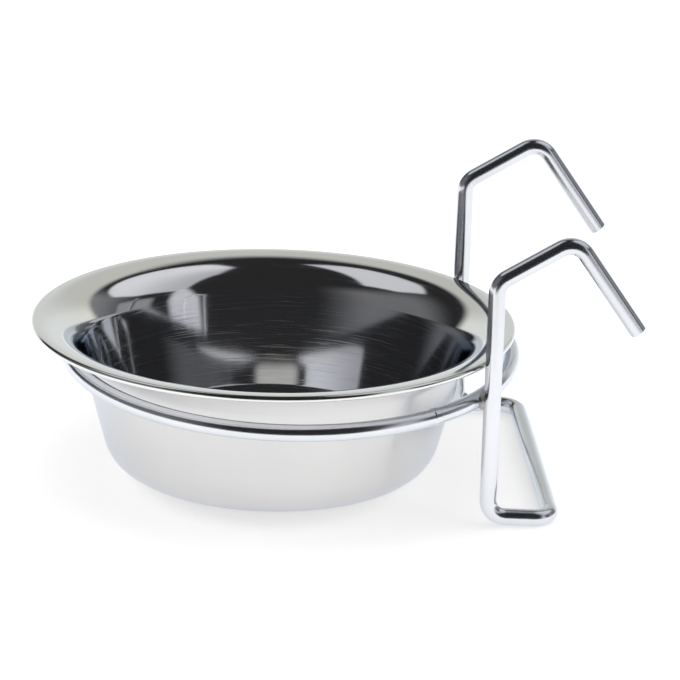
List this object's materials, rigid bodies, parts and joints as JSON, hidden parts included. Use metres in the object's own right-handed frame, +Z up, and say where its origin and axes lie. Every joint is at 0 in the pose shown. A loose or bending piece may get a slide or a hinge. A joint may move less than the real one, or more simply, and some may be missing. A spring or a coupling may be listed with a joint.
{
  "type": "seed cup with hanger",
  "caption": "Round steel seed cup with a wide rim, lifting out of a bent wire hanger whose ring holds it and whose hooks hang it on cage bars.",
  "frame": {"origin": "on the table, straight below the centre of the ring that holds the cup", "axes": "+X from the centre of the ring to the hooks, +Y along the cage bar, away from the viewer of the picture, +Z up"},
  "size_m": [0.1593, 0.1297, 0.0814],
  "materials": {
    "cup_steel": "satin outside and on the rim, polished inside",
    "wire_steel": "bright polished wire",
    "weld_steel": "dull spot weld"
  },
  "bodies": {
    "hanger": {"support_ring": "wire_steel", "hanger_wire": "wire_steel", "front_weld": "weld_steel", "back_weld": "weld_steel", "ring_weld": "weld_steel"},
    "cup": {"cup": "cup_steel"}
  },
  "joints": [
    {"name": "cup_lift", "type": "slide", "parent": "hanger", "child": "cup", "axis": [0, 0, 1], "range_m": [0, 0.045]}
  ]
}
